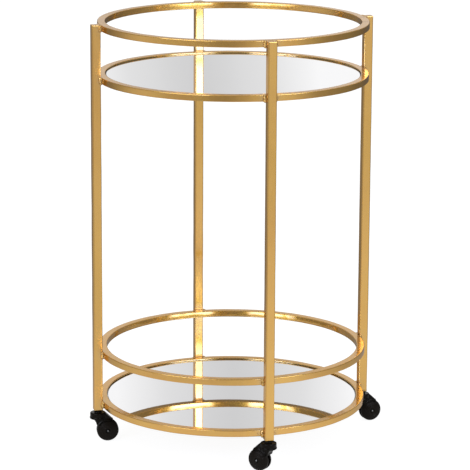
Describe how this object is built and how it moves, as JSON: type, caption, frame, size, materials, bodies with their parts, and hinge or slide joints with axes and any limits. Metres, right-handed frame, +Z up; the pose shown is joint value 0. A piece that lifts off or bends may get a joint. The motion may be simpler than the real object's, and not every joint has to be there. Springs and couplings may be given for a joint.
{
  "type": "bar cart",
  "caption": "Round two-shelf serving cart: square uprights welded outside rolled tube rings, mirror shelves with guard rails, and hooded twin-wheel swivel casters.",
  "frame": {"origin": "on the floor under the centre of the round shelves: the centre of the bounding box at its base", "axes": "+Z up; the uprights stand on the diagonals of X and Y, so +Y points midway between two uprights"},
  "size_m": [0.403, 0.403, 0.633],
  "materials": {
    "gold_frame": "satin gold lacquer over welded steel tube, light orange peel",
    "mirror_glass": "polished silvered glass with a ground edge",
    "backing_board": "dark smooth hardboard",
    "caster_nylon": "moulded black nylon, semi-gloss",
    "wheel_nylon": "moulded black nylon, satin with fine scuffs",
    "plug_nylon": "moulded black nylon",
    "steel": "zinc-plated turned steel"
  },
  "bodies": {
    "frame": {"top_rail_ring": "gold_frame", "upper_shelf_ring": "gold_frame", "lower_rail_ring": "gold_frame", "lower_shelf_ring": "gold_frame", "upper_mirror": "mirror_glass", "upper_mirror_board": "backing_board", "upper_shelf_tab_1": "gold_frame", "upper_shelf_tab_2": "gold_frame", "upper_shelf_tab_3": "gold_frame", "upper_shelf_tab_4": "gold_frame", "lower_mirror": "mirror_glass", "lower_mirror_board": "backing_board", "lower_shelf_tab_1": "gold_frame", "lower_shelf_tab_2": "gold_frame", "lower_shelf_tab_3": "gold_frame", "lower_shelf_tab_4": "gold_frame", "post_front_left": "gold_frame", "post_cap_front_left": "gold_frame", "stem_plug_front_left": "plug_nylon", "caster_stem_front_left": "steel", "post_front_right": "gold_frame", "post_cap_front_right": "gold_frame", "stem_plug_front_right": "plug_nylon", "caster_stem_front_right": "steel", "post_back_right": "gold_frame", "post_cap_back_right": "gold_frame", "stem_plug_back_right": "plug_nylon", "caster_stem_back_right": "steel", "post_back_left": "gold_frame", "post_cap_back_left": "gold_frame", "stem_plug_back_left": "plug_nylon", "caster_stem_back_left": "steel"},
    "caster_front_left_swivel": {"caster_hood_front_left": "caster_nylon", "caster_axle_front_left": "steel"},
    "caster_front_left_wheel_left": {"caster_wheel_left_front_left": "wheel_nylon"},
    "caster_front_left_wheel_right": {"caster_wheel_right_front_left": "wheel_nylon"},
    "caster_front_right_swivel": {"caster_hood_front_right": "caster_nylon", "caster_axle_front_right": "steel"},
    "caster_front_right_wheel_left": {"caster_wheel_left_front_right": "wheel_nylon"},
    "caster_front_right_wheel_right": {"caster_wheel_right_front_right": "wheel_nylon"},
    "caster_back_right_swivel": {"caster_hood_back_right": "caster_nylon", "caster_axle_back_right": "steel"},
    "caster_back_right_wheel_left": {"caster_wheel_left_back_right": "wheel_nylon"},
    "caster_back_right_wheel_right": {"caster_wheel_right_back_right": "wheel_nylon"},
    "caster_back_left_swivel": {"caster_hood_back_left": "caster_nylon", "caster_axle_back_left": "steel"},
    "caster_back_left_wheel_left": {"caster_wheel_left_back_left": "wheel_nylon"},
    "caster_back_left_wheel_right": {"caster_wheel_right_back_left": "wheel_nylon"}
  },
  "joints": [
    {"name": "swivel_front_left", "type": "hinge", "parent": "frame", "child": "caster_front_left_swivel", "pos_m": [-0.1474, -0.1474, 0.0405], "axis": [0, 0, 1], "continuous": true},
    {"name": "roll_left_front_left", "type": "hinge", "parent": "caster_front_left_swivel", "child": "caster_front_left_wheel_left", "pos_m": [-0.13605, -0.13853, 0.0165], "axis": [-0.6157, 0.788, 0], "continuous": true},
    {"name": "roll_right_front_left", "type": "hinge", "parent": "caster_front_left_swivel", "child": "caster_front_left_wheel_right", "pos_m": [-0.13605, -0.13853, 0.0165], "axis": [-0.6157, 0.788, 0], "continuous": true},
    {"name": "swivel_front_right", "type": "hinge", "parent": "frame", "child": "caster_front_right_swivel", "pos_m": [0.1474, -0.1474, 0.0405], "axis": [0, 0, 1], "continuous": true},
    {"name": "roll_left_front_right", "type": "hinge", "parent": "caster_front_right_swivel", "child": "caster_front_right_wheel_left", "pos_m": [0.13301, -0.14689, 0.0165], "axis": [-0.0349, -0.9994, 0], "continuous": true},
    {"name": "roll_right_front_right", "type": "hinge", "parent": "caster_front_right_swivel", "child": "caster_front_right_wheel_right", "pos_m": [0.13301, -0.14689, 0.0165], "axis": [-0.0349, -0.9994, 0], "continuous": true},
    {"name": "swivel_back_right", "type": "hinge", "parent": "frame", "child": "caster_back_right_swivel", "pos_m": [0.1474, 0.1474, 0.0405], "axis": [0, 0, 1], "continuous": true},
    {"name": "roll_left_back_right", "type": "hinge", "parent": "caster_back_right_swivel", "child": "caster_back_right_wheel_left", "pos_m": [0.15606, 0.1589, 0.0165], "axis": [-0.7986, 0.6018, 0], "continuous": true},
    {"name": "roll_right_back_right", "type": "hinge", "parent": "caster_back_right_swivel", "child": "caster_back_right_wheel_right", "pos_m": [0.15606, 0.1589, 0.0165], "axis": [-0.7986, 0.6018, 0], "continuous": true},
    {"name": "swivel_back_left", "type": "hinge", "parent": "frame", "child": "caster_back_left_swivel", "pos_m": [-0.1474, 0.1474, 0.0405], "axis": [0, 0, 1], "continuous": true},
    {"name": "roll_left_back_left", "type": "hinge", "parent": "caster_back_left_swivel", "child": "caster_back_left_wheel_left", "pos_m": [-0.14108, 0.16034, 0.0165], "axis": [-0.8988, 0.4384, 0], "continuous": true},
    {"name": "roll_right_back_left", "type": "hinge", "parent": "caster_back_left_swivel", "child": "caster_back_left_wheel_right", "pos_m": [-0.14108, 0.16034, 0.0165], "axis": [-0.8988, 0.4384, 0], "continuous": true}
  ]
}
